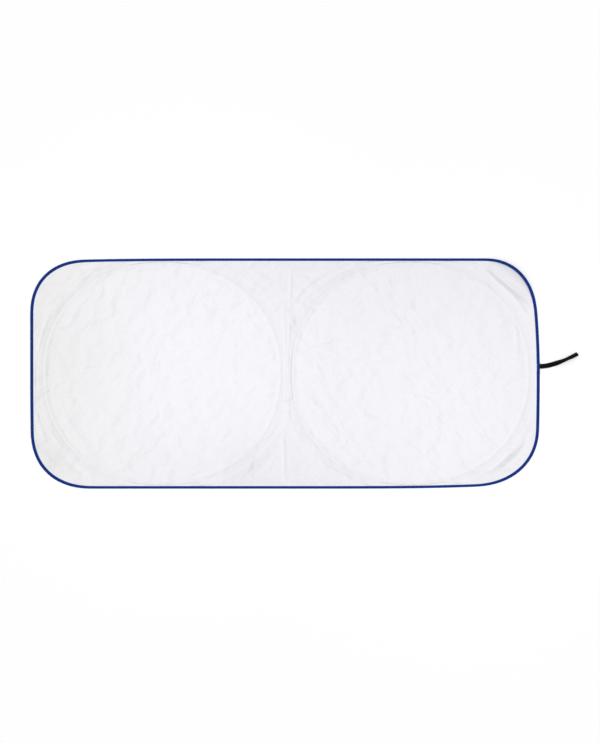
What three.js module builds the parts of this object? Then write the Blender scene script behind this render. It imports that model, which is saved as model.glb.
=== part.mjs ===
// Twist-fold windscreen sunshade, lying open and face up on the floor
import * as THREE from "three";

// Driving dimensions in millimetres and degrees. X runs along the shade, Y up its height, Z off the floor.
// The origin lies on the floor, midway between the two hoops.
const sheetLength = 1298;
const sheetHeight = 586;
const endShift = 5;             // how much longer the sheet is on the side without the elastic
const clothThickness = 0.3;
const fitGap = 0.3;             // clearance left wherever two pieces lie against each other

const wireHeight = 2.5;         // flat spring strip, standing on its edge
const wireThickness = 0.7;
const wireSpacing = 23;         // between the two hoops where they come closest
const endRoom = 21;             // from a hoop to the binding at the ends of the sheet
const sideRoom = 4.2;           // from a hoop to the binding along the long edges
const hoopSquareness = 2.15;    // 2 would be a plain ellipse

const ferruleLength = 20;
const ferruleWall = 0.4;
const wireEndGap = 1;
const hoopJoints = { left: 64, right: 118 };   // where each strip's ends meet, degrees round its hoop

const tapeThickness = 0.3;
const seamInside = 3.8;         // wire to the casing's inner seam
const seamOutside = 9;          // wire to its outer seam, where the sheet has room for it
const seamOutsideLeast = 1.9;   // and where it has not
const seamAllowance = 3;        // tape beyond its inner seam
const outerAllowance = 0.8;     // tape beyond its outer seam
const clothEase = 3;            // length over which the cloth comes down off a tape or a binding
const raisedEase = 4;           // further length for each millimetre that the elastic lifts the edge

const bindingWidth = 6;
const bindingThickness = 0.4;

const loopWidth = 10.5;
const loopThickness = 0.9;
const loopReach = 100;          // from the edge of the sheet to the tip
const loopTuck = 7;             // part of the loop sewn down under the edge
const loopHeight = 19;          // where it leaves the edge, above the middle of the sheet
const loopRise = 31;            // how far its tip lies above that
const loopBelly = 2.6;          // widest gap between its two legs
const loopTwist = 62;           // how far it has turned on edge at the tip, degrees

// Corners: how far the rounding reaches along each edge, and how far each edge has drawn in where it starts
const corners = {
  topLeft: { along: 143, down: 135, drawLong: 3, drawEnd: 0 },
  bottomLeft: { along: 154, down: 150, drawLong: 0, drawEnd: 1 },
  topRight: { along: 119, down: 141, drawLong: 0, drawEnd: 6 },
  bottomRight: { along: 160, down: 140, drawLong: 5, drawEnd: 2 },
};
const cornerFullness = 2.32;    // 2 would be an elliptical corner

// Folds of the slack cloth outside a hoop. Each follows the hoop over an arc, at a step of the slack's width.
const slackSteps = [0.18, 0.36, 0.56, 0.8];
const foldRoom = 40;            // slack that a fold needs to stand at its full height
const folds = {
  left: [
    { at: 145, spread: 24, step: 1, height: 3.2 },
    { at: 222, spread: 26, step: 2, height: 4.4 },
    { at: 186, spread: 16, step: 1, height: 1.6 },
  ],
  right: [
    { at: 41, spread: 24, step: 1, height: 5 },
    { at: 312, spread: 26, step: 1, height: 4 },
  ],
};
// Pressed crease on the line between the hoops
const creaseHeight = 2.4;
const creaseHalfWidth = 4;
const creaseStart = 0.45;       // share of the way from the middle to the long edge

const raysInside = 18;          // rays of a hoop that meet the centre line
const raysOutside = 52;         // rays of a hoop that meet the edge of the sheet

// Sizes worked out from those above
const halfHeight = sheetHeight / 2;
const hoopHalfLength = (sheetLength - 2 * (endRoom + bindingWidth) - wireSpacing) / 4 - wireThickness / 2;
const hoopHalfHeight = halfHeight - bindingWidth - sideRoom;
const hoopCentre = hoopHalfLength + (wireSpacing + wireThickness) / 2;
const tapeLift = tapeThickness + fitGap;
const wireBottom = tapeLift + ferruleWall + fitGap;
const wireTop = wireBottom + wireHeight;
const crownHeight = wireTop + fitGap;
const crownHalf = wireThickness / 2 + fitGap;
const ferruleRise = ferruleWall + fitGap;
const bindingLift = bindingThickness + fitGap;
const bindingHeight = 2 * bindingLift + clothThickness;
const loopLift = 2 * loopThickness + 2 * fitGap;
const loopRampStart = loopWidth / 2 + 1.5;
const loopRampEnd = loopRampStart + 7;

const materials = {
  cloth: new THREE.MeshStandardMaterial({ color: 0xf1f1f5, roughness: 0.6, metalness: 0 }),
  binding: new THREE.MeshStandardMaterial({ color: 0x1e3f9a, roughness: 0.75, metalness: 0 }),
  tape: new THREE.MeshStandardMaterial({ color: 0xe4e4e8, roughness: 0.75, metalness: 0 }),
  spring: new THREE.MeshStandardMaterial({ color: 0x8d9096, roughness: 0.35, metalness: 1 }),
  ferrule: new THREE.MeshStandardMaterial({ color: 0xb4b6ba, roughness: 0.3, metalness: 1 }),
  elastic: new THREE.MeshStandardMaterial({ color: 0x16161a, roughness: 0.85, metalness: 0 }),
};

// Half the length of the sheet on one side of the centre line
function endReach(side) {
  return sheetLength / 2 - side * endShift;
}

// True where a point lies inside the sheet's outline, drawn in by the inset
function insideSheet(x, y, inset) {
  const vertical = y >= 0 ? "top" : "bottom";
  const corner = corners[vertical + (x >= 0 ? "Right" : "Left")];
  const reach = endReach(Math.sign(x));
  const halfX = reach - corner.drawEnd * (y / (halfHeight - corner.down)) ** 2 - inset;
  const halfY = halfHeight - corner.drawLong * (x / (reach - corner.along)) ** 4 - inset;
  const cornerX = corner.along - inset;
  const cornerY = corner.down - inset;
  const across = Math.max(0, (Math.abs(x) - halfX + cornerX) / cornerX);
  const along = Math.max(0, (Math.abs(y) - halfY + cornerY) / cornerY);
  return across ** cornerFullness + along ** cornerFullness < 1;
}

// Radius of a hoop's centre line at an angle
function hoopRadius(angle) {
  const across = Math.abs(Math.cos(angle) / hoopHalfLength) ** hoopSquareness;
  const along = Math.abs(Math.sin(angle) / hoopHalfHeight) ** hoopSquareness;
  return (across + along) ** (-1 / hoopSquareness);
}

// Distance from a hoop's centre to the sheet's edge, found by halving
function edgeRadius(side, angle, inset) {
  let near = 0;
  let far = sheetLength;
  for (let round = 0; round < 48; round++) {
    const middle = (near + far) / 2;
    const x = side * hoopCentre + middle * Math.cos(angle);
    const y = middle * Math.sin(angle);
    if (insideSheet(x, y, inset)) {
      near = middle;
    } else {
      far = middle;
    }
  }
  return near;
}

// Smooth hump that is 1 in the middle of its spread and 0 beyond it
function hump(offset, spread) {
  const share = Math.min(1, Math.abs(offset) / spread);
  return Math.cos(share * Math.PI / 2) ** 2;
}

// Difference of two angles, from -180 to 180 degrees
function turnBetween(first, second) {
  return THREE.MathUtils.euclideanModulo(first - second + 180, 360) - 180;
}

// Direction from a hoop's centre to the centre line
function hoopTurn(side) {
  return side > 0 ? Math.PI : 0;
}

// The rays of one hoop, counter-clockwise from the lower end of the centre line.
// side is -1 for the left hoop and 1 for the right one.
function hoopRays(side) {
  const reachAngle = Math.atan2(halfHeight, hoopCentre);
  const rays = [];
  for (let index = 0; index < raysInside; index++) {
    const angle = hoopTurn(side) - reachAngle + 2 * reachAngle * index / raysInside;
    rays.push({ angle, meetsMiddle: index > 0 });
  }
  const outerTurn = 2 * (Math.PI - reachAngle);
  for (let index = 0; index < raysOutside; index++) {
    const angle = hoopTurn(side) + reachAngle + outerTurn * index / raysOutside;
    rays.push({ angle, meetsMiddle: false });
  }
  return side > 0 ? withLoopRays(rays) : rays;
}

// Adds rays beside the elastic, so that only a short stretch of the edge is lifted by it
function withLoopRays(rays) {
  const distance = endReach(1) - hoopCentre;
  for (const offset of [-loopRampEnd, -loopRampStart, loopRampStart, loopRampEnd]) {
    const angle = 2 * Math.PI + Math.atan2(loopHeight + offset, distance);
    rays.push({ angle, meetsMiddle: false });
  }
  return rays.sort((first, second) => first.angle - second.angle);
}

// How far the elastic under the edge lifts it at a height up the sheet
function loopRaise(side, x, y) {
  if (side * x < hoopCentre || side < 0) {
    return 0;
  }
  const offset = Math.abs(y - loopHeight);
  const share = (loopRampEnd - offset) / (loopRampEnd - loopRampStart);
  return loopLift * THREE.MathUtils.clamp(share, 0, 1);
}

// Radii along one ray, from the hoop's centre outward, that the cloth and the tape share
function rayRadii(side, ray) {
  const wire = hoopRadius(ray.angle);
  const cosine = Math.abs(Math.cos(ray.angle));
  const middle = hoopCentre / cosine;
  const edge = ray.meetsMiddle ? middle : edgeRadius(side, ray.angle, 0);
  const inner = ray.meetsMiddle
    ? (hoopCentre - creaseHalfWidth) / cosine
    : edgeRadius(side, ray.angle, bindingWidth + fitGap);
  const room = (inner - wire - clothEase) / 2;
  const seamOut = THREE.MathUtils.clamp(room, seamOutsideLeast, seamOutside);
  const tapeOut = Math.min(seamOut + outerAllowance, inner - wire);
  return { wire, edge, inner, seamOut, tapeOut };
}

// How much further the cloth stands out where it goes over a ferrule
function ferruleBump(side, angle) {
  const joint = hoopJoints[side > 0 ? "right" : "left"];
  const covered = 2 * (ferruleLength / hoopHalfHeight + 2 * Math.PI / raysOutside) * 180 / Math.PI;
  const offset = Math.abs(turnBetween(angle * 180 / Math.PI, joint));
  return offset < covered / 2 ? ferruleRise : 0;
}

// Height of the folds at one step of the slack, as the ray's angle has it
function foldHeight(side, angle, step) {
  let height = 0;
  for (const fold of folds[side > 0 ? "right" : "left"]) {
    if (fold.step === step) {
      height += fold.height * hump(turnBetween(angle * 180 / Math.PI, fold.at), fold.spread);
    }
  }
  return height;
}

// Underside of the cloth along one ray: radius and height of every point, from the centre to the edge
function clothProfile(side, ray) {
  const radii = rayRadii(side, ray);
  const bump = ferruleBump(side, ray.angle);
  const raise = ray.meetsMiddle ? 0 : loopRaise(
    side,
    side * hoopCentre + radii.edge * Math.cos(ray.angle),
    radii.edge * Math.sin(ray.angle),
  );
  const edgeLift = ray.meetsMiddle ? creaseAt(ray.angle) : bindingLift + raise;
  const tapeIn = radii.wire - seamInside - seamAllowance;
  const slackStart = radii.wire + radii.tapeOut;
  const slack = radii.inner - slackStart;
  const profile = [
    [tapeIn - clothEase, 0],
    [tapeIn, tapeLift],
    [radii.wire - seamInside, tapeLift],
    [radii.wire - crownHalf - bump, crownHeight + bump],
    [radii.wire + crownHalf + bump, crownHeight + bump],
    [radii.wire + radii.seamOut, tapeLift],
    [slackStart, tapeLift],
  ];
  slackSteps.forEach((share, step) => {
    const fromTape = tapeLift * (1 - share * slack / clothEase);
    const fromEdge = ray.meetsMiddle ? 0 : edgeLift * (1 - (1 - share) * slack / (clothEase + raisedEase * raise));
    const fold = foldHeight(side, ray.angle, step) * Math.min(1, slack / foldRoom);
    profile.push([slackStart + share * slack, Math.max(0, fromTape, fromEdge) + fold]);
  });
  profile.push([radii.inner, ray.meetsMiddle ? Math.max(0, tapeLift * (1 - slack / clothEase)) : edgeLift]);
  profile.push([radii.edge, edgeLift]);
  return profile;
}

// Height of the pressed crease where a ray meets the centre line
function creaseAt(angle) {
  const share = Math.abs(Math.tan(angle)) * hoopCentre / halfHeight;
  const middle = (1 + creaseStart) / 2;
  return creaseHeight * hump(share - middle, middle - creaseStart);
}

// Named mesh from corner points and triangles, with its faces turned outward
function solid(name, points, triangles, material) {
  let volume = 0;
  for (const [first, second, third] of triangles) {
    volume += points[first].dot(points[second].clone().cross(points[third]));
  }
  const turned = volume < 0 ? triangles.map(([first, second, third]) => [first, third, second]) : triangles;
  const geometry = new THREE.BufferGeometry().setFromPoints(points);
  geometry.setIndex(turned.flat());
  geometry.computeVertexNormals();
  const mesh = new THREE.Mesh(geometry, material);
  mesh.name = name;
  return mesh;
}

// Closed solid through a row of like sections. A section is a list of points round its outline,
// and flat is the same outline in its own plane, which the end faces are cut from.
function loft(name, sections, flat, closed, material) {
  const count = flat.length;
  const points = sections.flat();
  const triangles = [];
  const spans = closed ? sections.length : sections.length - 1;
  for (let span = 0; span < spans; span++) {
    const near = span * count;
    const far = (span + 1) % sections.length * count;
    for (let corner = 0; corner < count; corner++) {
      const next = (corner + 1) % count;
      triangles.push([near + corner, near + next, far + next]);
      triangles.push([near + corner, far + next, far + corner]);
    }
  }
  if (!closed) {
    const last = points.length - count;
    for (const [first, second, third] of THREE.ShapeUtils.triangulateShape(flat, [])) {
      const forward = THREE.ShapeUtils.isClockWise(flat) ? [first, second, third] : [third, second, first];
      triangles.push(forward);
      triangles.push([last + forward[0], last + forward[2], last + forward[1]]);
    }
  }
  return solid(name, points, triangles, material);
}

// Point on a ray from a hoop's centre
function rayPoint(side, angle, radius, height) {
  return new THREE.Vector3(
    side * hoopCentre + radius * Math.cos(angle),
    radius * Math.sin(angle),
    height,
  );
}

// Cloth panel: one sheet over both hoops, joined along the centre line
function clothPanel() {
  const points = [];
  const triangles = [];
  const places = new Map();
  const place = (point) => {
    const key = [point.x, point.y, point.z].map((value) => Math.round(value * 1e4)).join(" ");
    if (!places.has(key)) {
      places.set(key, points.length);
      points.push(point);
    }
    return places.get(key);
  };
  for (const side of [-1, 1]) {
    const rays = hoopRays(side);
    for (const top of [0, 1]) {
      const height = top * clothThickness;
      const centre = place(rayPoint(side, 0, 0, height));
      const rows = rays.map((ray) => clothProfile(side, ray).map(([radius, level]) => (
        place(rayPoint(side, ray.angle, radius, level + height))
      )));
      rows.forEach((row, index) => {
        const next = rows[(index + 1) % rows.length];
        addFace(triangles, top, centre, row[0], next[0]);
        for (let step = 1; step < row.length; step++) {
          addFace(triangles, top, row[step - 1], row[step], next[step]);
          addFace(triangles, top, row[step - 1], next[step], next[step - 1]);
        }
      });
    }
    addRim(triangles, side, rays, place);
  }
  return solid("panel", points, triangles, materials.cloth);
}

// One triangle of the cloth, given counter-clockwise as seen from above
function addFace(triangles, top, first, second, third) {
  if (first !== second && second !== third && third !== first) {
    triangles.push(top ? [first, second, third] : [first, third, second]);
  }
}

// Raw edge of the cloth, all round except along the centre line
function addRim(triangles, side, rays, place) {
  rays.forEach((ray, index) => {
    const next = rays[(index + 1) % rays.length];
    if (ray.meetsMiddle || next.meetsMiddle) {
      return;
    }
    const ends = [ray, next].map((each) => {
      const [radius, level] = clothProfile(side, each).at(-1);
      return [0, clothThickness].map((height) => place(rayPoint(side, each.angle, radius, level + height)));
    });
    triangles.push([ends[0][0], ends[1][0], ends[1][1]]);
    triangles.push([ends[0][0], ends[1][1], ends[0][1]]);
  });
}

// Points of the sheet's edge in order, once round
function edgePoints() {
  const points = [];
  for (const side of [-1, 1]) {
    const rays = hoopRays(side);
    const rim = rays.filter((ray) => !ray.meetsMiddle);
    const first = rim.findIndex((ray) => ray.angle > hoopTurn(side));
    const ordered = [...rim.slice(first), ...rim.slice(0, first)];
    ordered.slice(0, -1).forEach((ray) => {
      const radius = edgeRadius(side, ray.angle, 0);
      const point = rayPoint(side, ray.angle, radius, 0);
      point.z = loopRaise(side, point.x, point.y);
      points.push(point);
    });
  }
  return points;
}

// Binding: one tape folded over the edge, its two ends meeting beside the elastic
function edgeBinding() {
  const rim = edgePoints();
  const outer = bindingLift;
  const inner = fitGap;
  const upper = bindingHeight - bindingThickness;
  const flat = [
    [bindingWidth, 0],
    [0, 0],
    [-0.7 * outer, 0.15 * bindingHeight],
    [-outer, 0.5 * bindingHeight],
    [-0.7 * outer, 0.85 * bindingHeight],
    [0, bindingHeight],
    [bindingWidth, bindingHeight],
    [bindingWidth, upper],
    [-inner, upper],
    [-inner, bindingThickness],
    [bindingWidth, bindingThickness],
  ].map(([inset, level]) => new THREE.Vector2(inset, level));
  const sections = rim.map((point, index) => {
    const before = rim.at(index - 1);
    const after = rim[(index + 1) % rim.length];
    const inward = new THREE.Vector3(before.y - after.y, after.x - before.x, 0).normalize();
    return flat.map(({ x, y }) => (
      point.clone().addScaledVector(inward, x).add(new THREE.Vector3(0, 0, y))
    ));
  });
  return loft("edge_binding", sections, flat, true, materials.binding);
}

// Angles of a stretch of hoop, with every ray between its ends
function stretchAngles(side, from, to) {
  const angles = hoopRays(side).map((ray) => ray.angle);
  const between = [];
  for (const turn of [-2, -1, 0, 1, 2]) {
    for (const angle of angles) {
      const turned = angle + turn * 2 * Math.PI;
      if (turned > from + 1e-4 && turned < to - 1e-4) {
        between.push(turned);
      }
    }
  }
  return [from, ...between.sort((first, second) => first - second), to];
}

// Point of a hoop's own polygon, moved out by an offset, at any angle
function hoopPoint(side, angle, offset, height) {
  const nearby = 4 * Math.PI / raysOutside;
  const angles = stretchAngles(side, angle - nearby, angle + nearby).slice(1, -1);
  const start = angles.filter((each) => each <= angle + 1e-9).at(-1);
  const end = angles.find((each) => each > angle + 1e-9);
  const near = hoopRadius(start) + offset;
  const far = hoopRadius(end) + offset;
  const across = near * Math.sin(angle - start) + far * Math.sin(end - angle);
  return rayPoint(side, angle, near * far * Math.sin(end - start) / across, height);
}

// Solid of one section carried along a stretch of hoop. The section is drawn outward and upward.
function alongHoop(name, side, from, to, flat, material) {
  const sections = stretchAngles(side, from, to).map((angle) => (
    flat.map(({ x, y }) => hoopPoint(side, angle, x, y))
  ));
  return loft(name, sections, flat, false, material);
}

// Spring hoop: a flat strip on its edge, its two ends butted inside the ferrule
function springHoop(side, label) {
  const joint = THREE.MathUtils.degToRad(hoopJoints[label]);
  const halfGap = wireEndGap / 2 / hoopRadius(joint);
  const half = wireThickness / 2;
  const flat = [[-half, wireBottom], [half, wireBottom], [half, wireTop], [-half, wireTop]]
    .map(([out, level]) => new THREE.Vector2(out, level));
  return alongHoop(`hoop_${label}`, side, joint + halfGap, joint + 2 * Math.PI - halfGap, flat, materials.spring);
}

// Ferrule: a sleeve rolled from sheet round the strip's ends, with its slit on the inner side
function ferrule(side, label) {
  const joint = THREE.MathUtils.degToRad(hoopJoints[label]);
  const halfTurn = ferruleLength / 2 / hoopRadius(joint);
  const middle = (wireBottom + wireTop) / 2;
  const inside = wireThickness / 2 + fitGap;
  const outside = inside + ferruleWall;
  const insideUp = wireHeight / 2 + fitGap;
  const outsideUp = insideUp + ferruleWall;
  const slit = ferruleWall;
  const flat = [
    [-outside, -slit], [-outside, -outsideUp], [outside, -outsideUp], [outside, outsideUp],
    [-outside, outsideUp], [-outside, slit], [-inside, slit], [-inside, insideUp],
    [inside, insideUp], [inside, -insideUp], [-inside, -insideUp], [-inside, -slit],
  ].map(([out, level]) => new THREE.Vector2(out, middle + level));
  return alongHoop(`hoop_ferrule_${label}`, side, joint - halfTurn, joint + halfTurn, flat, materials.ferrule);
}

// Casing: a tape sewn to the back of the cloth, closing the channel that the hoop runs in
function hoopCasing(side, label) {
  const flat = [[0, 0], [1, 0], [1, tapeThickness], [0, tapeThickness]].map(([x, y]) => new THREE.Vector2(x, y));
  const sections = hoopRays(side).map((ray) => {
    const radii = rayRadii(side, ray);
    const ends = [radii.wire - seamInside - seamAllowance, radii.wire + radii.tapeOut];
    return flat.map(({ x, y }) => rayPoint(side, ray.angle, ends[x], y));
  });
  return loft(`hoop_casing_${label}`, sections, flat, true, materials.tape);
}

// Elastic: one ribbon doubled into a loop, flat under the edge and turning on edge towards its tip
function elasticLoop() {
  const free = new THREE.QuadraticBezierCurve3(
    new THREE.Vector3(endReach(1) + bindingLift, loopHeight, 0),
    new THREE.Vector3(endReach(1) + 0.46 * loopReach, loopHeight + 0.1 * loopRise, 0),
    new THREE.Vector3(endReach(1) + 0.95 * loopReach, loopHeight + loopRise, 0),
  );
  const stations = [loopStation(new THREE.Vector3(endReach(1) - loopTuck, loopHeight, 0), new THREE.Vector3(1, 0, 0), 0)];
  const steps = 14;
  for (let step = 0; step <= steps; step++) {
    stations.push(loopStation(free.getPoint(step / steps), free.getTangent(step / steps), step / steps));
  }
  const tip = stations.at(-1);
  const sections = stations.map((station) => ribbonSection(station, Math.PI));
  const turns = 6;
  for (let turn = 1; turn < turns; turn++) {
    sections.push(ribbonSection(tip, Math.PI * (1 - turn / turns)));
  }
  stations.toReversed().forEach((station) => sections.push(ribbonSection(station, 0)));
  const flat = [[-1, -1], [1, -1], [1, 1], [-1, 1]].map(([x, y]) => new THREE.Vector2(x, y));
  return loft("elastic_loop", sections, flat, false, materials.elastic);
}

// Frame of the doubled ribbon at a share of its free length: across the band, and from leg to leg
function loopStation(place, along, share) {
  const turn = -THREE.MathUtils.degToRad(loopTwist) * THREE.MathUtils.smoothstep(share, 0, 1);
  const level = new THREE.Vector3(-along.y, along.x, 0).normalize();
  const across = level.clone().multiplyScalar(Math.cos(turn));
  across.z = Math.sin(turn);
  const apart = level.clone().multiplyScalar(-Math.sin(turn));
  apart.z = Math.cos(turn);
  const gap = THREE.MathUtils.lerp(fitGap, loopBelly, THREE.MathUtils.smoothstep(share, 0.05, 0.8));
  const offset = (gap + loopThickness) / 2;
  const centre = place.clone();
  centre.z = loopWidth / 2 * Math.abs(across.z) + (offset + loopThickness / 2) * apart.z;
  return { centre, along, across, apart, offset };
}

// Ribbon's cross-section on the loop at an angle round its tip: pi on the lower leg, 0 on the upper
function ribbonSection(station, angle) {
  const outward = station.apart.clone().multiplyScalar(Math.cos(angle))
    .addScaledVector(station.along, Math.sin(angle));
  const corners = [[-1, -1], [1, -1], [1, 1], [-1, 1]];
  return corners.map(([side, layer]) => station.centre.clone()
    .addScaledVector(station.across, side * loopWidth / 2)
    .addScaledVector(outward, station.offset + layer * loopThickness / 2));
}

const shade = new THREE.Group();
shade.add(clothPanel());
shade.add(edgeBinding());
for (const [label, side] of [["left", -1], ["right", 1]]) {
  shade.add(hoopCasing(side, label));
  shade.add(springHoop(side, label));
  shade.add(ferrule(side, label));
}
shade.add(elasticLoop());

export default shade;
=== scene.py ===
# Twist-fold windscreen sunshade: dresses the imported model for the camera
import math
import bpy
import numpy as np
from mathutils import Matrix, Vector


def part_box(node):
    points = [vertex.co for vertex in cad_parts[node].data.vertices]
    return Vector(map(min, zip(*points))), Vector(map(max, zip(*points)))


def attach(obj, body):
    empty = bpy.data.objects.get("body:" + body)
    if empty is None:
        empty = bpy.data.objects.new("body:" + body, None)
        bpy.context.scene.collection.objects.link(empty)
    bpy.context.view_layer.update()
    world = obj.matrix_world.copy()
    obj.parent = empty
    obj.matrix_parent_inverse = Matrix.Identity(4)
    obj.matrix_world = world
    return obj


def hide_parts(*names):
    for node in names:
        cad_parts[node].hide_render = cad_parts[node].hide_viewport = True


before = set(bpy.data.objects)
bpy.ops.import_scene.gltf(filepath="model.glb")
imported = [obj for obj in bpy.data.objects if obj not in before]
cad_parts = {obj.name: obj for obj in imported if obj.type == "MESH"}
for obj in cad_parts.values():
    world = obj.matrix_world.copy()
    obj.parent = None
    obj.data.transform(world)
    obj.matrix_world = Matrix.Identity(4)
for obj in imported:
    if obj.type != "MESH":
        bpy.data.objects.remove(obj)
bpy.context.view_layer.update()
mm = 0.001


# Small helpers

def unselectAll():
    bpy.ops.object.select_all(action="DESELECT")


def meshObject(name, points, faces):
    mesh = bpy.data.meshes.new(name)
    mesh.from_pydata([tuple(p) for p in points], [], [tuple(f) for f in faces])
    mesh.update()
    thing = bpy.data.objects.new(name, mesh)
    bpy.context.scene.collection.objects.link(thing)
    return thing


def chooseOnly(thing):
    unselectAll()
    thing.select_set(True)
    bpy.context.view_layer.objects.active = thing


def smoothByAngle(thing, degrees):
    chooseOnly(thing)
    bpy.ops.object.shade_smooth_by_angle(angle=math.radians(degrees))


def turnFacesOut(thing):
    chooseOnly(thing)
    bpy.ops.object.mode_set(mode="EDIT")
    bpy.ops.mesh.select_all(action="SELECT")
    bpy.ops.mesh.normals_make_consistent(inside=False)
    bpy.ops.object.mode_set(mode="OBJECT")


def smoothStep(value, low, high):
    share = np.clip((value - low) / (high - low), 0, 1)
    return share * share * (3 - 2 * share)


def loftSections(name, sections, closed, along=None, across=None):
    # Skin through like sections; along and across give the UV map in metres
    sections = np.asarray(sections)
    total, count = sections.shape[:2]
    spans = total if closed else total - 1
    faces, uvs = [], []
    for i in range(spans):
        for j in range(count):
            k, m = (i + 1) % total, (j + 1) % count
            faces.append((i * count + j, i * count + m, k * count + m, k * count + j))
            if along is not None:
                ends = along[i], along[i + 1], across[j], across[j + 1]
                uvs += [(ends[0], ends[2]), (ends[0], ends[3]), (ends[1], ends[3]), (ends[1], ends[2])]
    if not closed:
        faces.append(tuple(range(count)))
        faces.append(tuple(range((total - 1) * count, total * count))[::-1])
        uvs += [(0, 0)] * (2 * count)
    thing = meshObject(name, sections.reshape(-1, 3) * mm, faces)
    if along is not None:
        layer = thing.data.uv_layers.new(name="tape")
        layer.data.foreach_set("uv", np.array(uvs, dtype=float).ravel() * mm)
    turnFacesOut(thing)
    return thing


def walked(points, closed=True):
    # Distance walked along a row of points, with the way home at the end of a closed one
    ring = np.vstack((points, points[:1])) if closed else points
    return np.concatenate(([0], np.cumsum(np.linalg.norm(np.diff(ring, axis=0), axis=1))))


# Materials

def hexColour(text):
    channels = [int(text[i:i + 2], 16) / 255 for i in (1, 3, 5)]
    linear = [c / 12.92 if c <= 0.04045 else ((c + 0.055) / 1.055) ** 2.4 for c in channels]
    return (*linear, 1)


def addNode(tree, kind, links=None, **settings):
    node = tree.nodes.new(kind)
    for key, value in settings.items():
        if key in node.inputs:
            node.inputs[key].default_value = value
        else:
            setattr(node, key, value)
    for key, source in (links or {}).items():
        tree.links.new(source, node.inputs[key])
    return node


def newMaterial(name, **shader):
    material = bpy.data.materials.new(name)
    material.use_nodes = True
    tree = material.node_tree
    surface = tree.nodes["Principled BSDF"]
    for key, value in shader.items():
        surface.inputs[key.replace("_", " ")].default_value = value
    return material, tree, surface


def waveScale(pitchMm):
    # A wave texture of scale 1 repeats every tenth of pi
    return math.pi / 10 / (pitchMm * mm)


def weaveBump(tree, coordinates, threadMm, strength, distanceMm):
    # Plain weave: warp and weft bands crossing at the thread spacing
    scale = waveScale(2 * threadMm)
    warp = addNode(tree, "ShaderNodeTexWave", {"Vector": coordinates}, Scale=scale, bands_direction="X")
    weft = addNode(tree, "ShaderNodeTexWave", {"Vector": coordinates}, Scale=scale, bands_direction="Y")
    both = addNode(tree, "ShaderNodeMath", {0: warp.outputs["Fac"], 1: weft.outputs["Fac"]}, operation="ADD")
    return addNode(tree, "ShaderNodeBump", {"Height": both.outputs[0]}, Strength=strength,
                   Distance=distanceMm * mm)


clothLook = {
    "leftEndTint": "#E9E8E9",          # the left end, tinted a little less blue
    "mainTint": "#E9E8ED",
    "shade": 0.975,
    "paintedShade": 0.87,               # how dark the painted shade turns the cloth at full share
    "back": "#B4B7BC",
    "backCloud": "#A4A7AD",     # the film is thinner in patches
    "backCloudMm": 33.3,
    "threadMm": 1.2,            # the real thread is 0.12 mm, drawn coarse enough to show close up
    "mottleMm": 90,
    "crumple": {
        "softMm": 32,
        "softDeepMm": 7.8,
        "foldMm": 26,
        "foldDeepMm": 1.3,
        "wanderMm": 9,          # how far the marks stray from their slant, and over what length
        "wanderSizeMm": 160,
        "stretch": 1.35,
        "slant": 38,
    },
}


def crumpleBump(tree, place, under, look):
    # Marks left by twisting the cloth up small: soft dents drawn out up towards the middle on both halves,
    # with thin folds among them. The third coordinate keeps the halves from mirroring each other
    apart = addNode(tree, "ShaderNodeSeparateXYZ", {"Vector": place})
    fromMiddle = addNode(tree, "ShaderNodeMath", {0: apart.outputs["X"]}, operation="ABSOLUTE")
    half = addNode(tree, "ShaderNodeMapRange", {"Value": apart.outputs["X"]})
    half.inputs["From Min"].default_value = -0.15
    half.inputs["From Max"].default_value = 0.15
    half.inputs["To Max"].default_value = 0.12
    folded = addNode(tree, "ShaderNodeCombineXYZ", {"X": fromMiddle.outputs[0], "Y": apart.outputs["Y"],
                                                    "Z": half.outputs["Result"]})
    turned = addNode(tree, "ShaderNodeVectorRotate", {"Vector": folded.outputs["Vector"]},
                     rotation_type="Z_AXIS", Angle=math.radians(look["slant"]))
    slant = addNode(tree, "ShaderNodeMapping", {"Vector": turned.outputs["Vector"]})
    slant.inputs["Scale"].default_value = (1 / look["stretch"], 1, 1)
    wander = addNode(tree, "ShaderNodeTexNoise", {"Vector": place}, Scale=1 / (look["wanderSizeMm"] * mm),
                     Detail=0.5)
    middle = addNode(tree, "ShaderNodeVectorMath", {0: wander.outputs["Color"]}, operation="SUBTRACT")
    middle.inputs[1].default_value = (0.5, 0.5, 0.5)
    far = addNode(tree, "ShaderNodeVectorMath", {0: middle.outputs[0]}, operation="SCALE")
    far.inputs["Scale"].default_value = 6 * look["wanderMm"] * mm
    moved = addNode(tree, "ShaderNodeVectorMath", {0: slant.outputs[0], 1: far.outputs[0]}, operation="ADD")
    soft = addNode(tree, "ShaderNodeTexNoise", {"Vector": moved.outputs[0]}, Scale=1 / (look["softMm"] * mm),
                   Detail=1.9, Roughness=0.43)
    fold = addNode(tree, "ShaderNodeTexNoise", {"Vector": moved.outputs[0]}, Scale=1 / (look["foldMm"] * mm),
                   Detail=1.0)
    centred = addNode(tree, "ShaderNodeMath", {0: fold.outputs["Fac"]}, operation="SUBTRACT")
    centred.inputs[1].default_value = 0.5
    edges = addNode(tree, "ShaderNodeMath", {0: centred.outputs[0]}, operation="ABSOLUTE")
    dents = addNode(tree, "ShaderNodeBump", {"Height": soft.outputs["Fac"], "Normal": under}, Strength=1.0,
                    Distance=look["softDeepMm"] * mm)
    folds = addNode(tree, "ShaderNodeBump", {"Height": edges.outputs[0], "Normal": dents.outputs["Normal"]},
                    Strength=1.0, Distance=look["foldDeepMm"] * mm, invert=True)
    return folds.outputs["Normal"]


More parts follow.
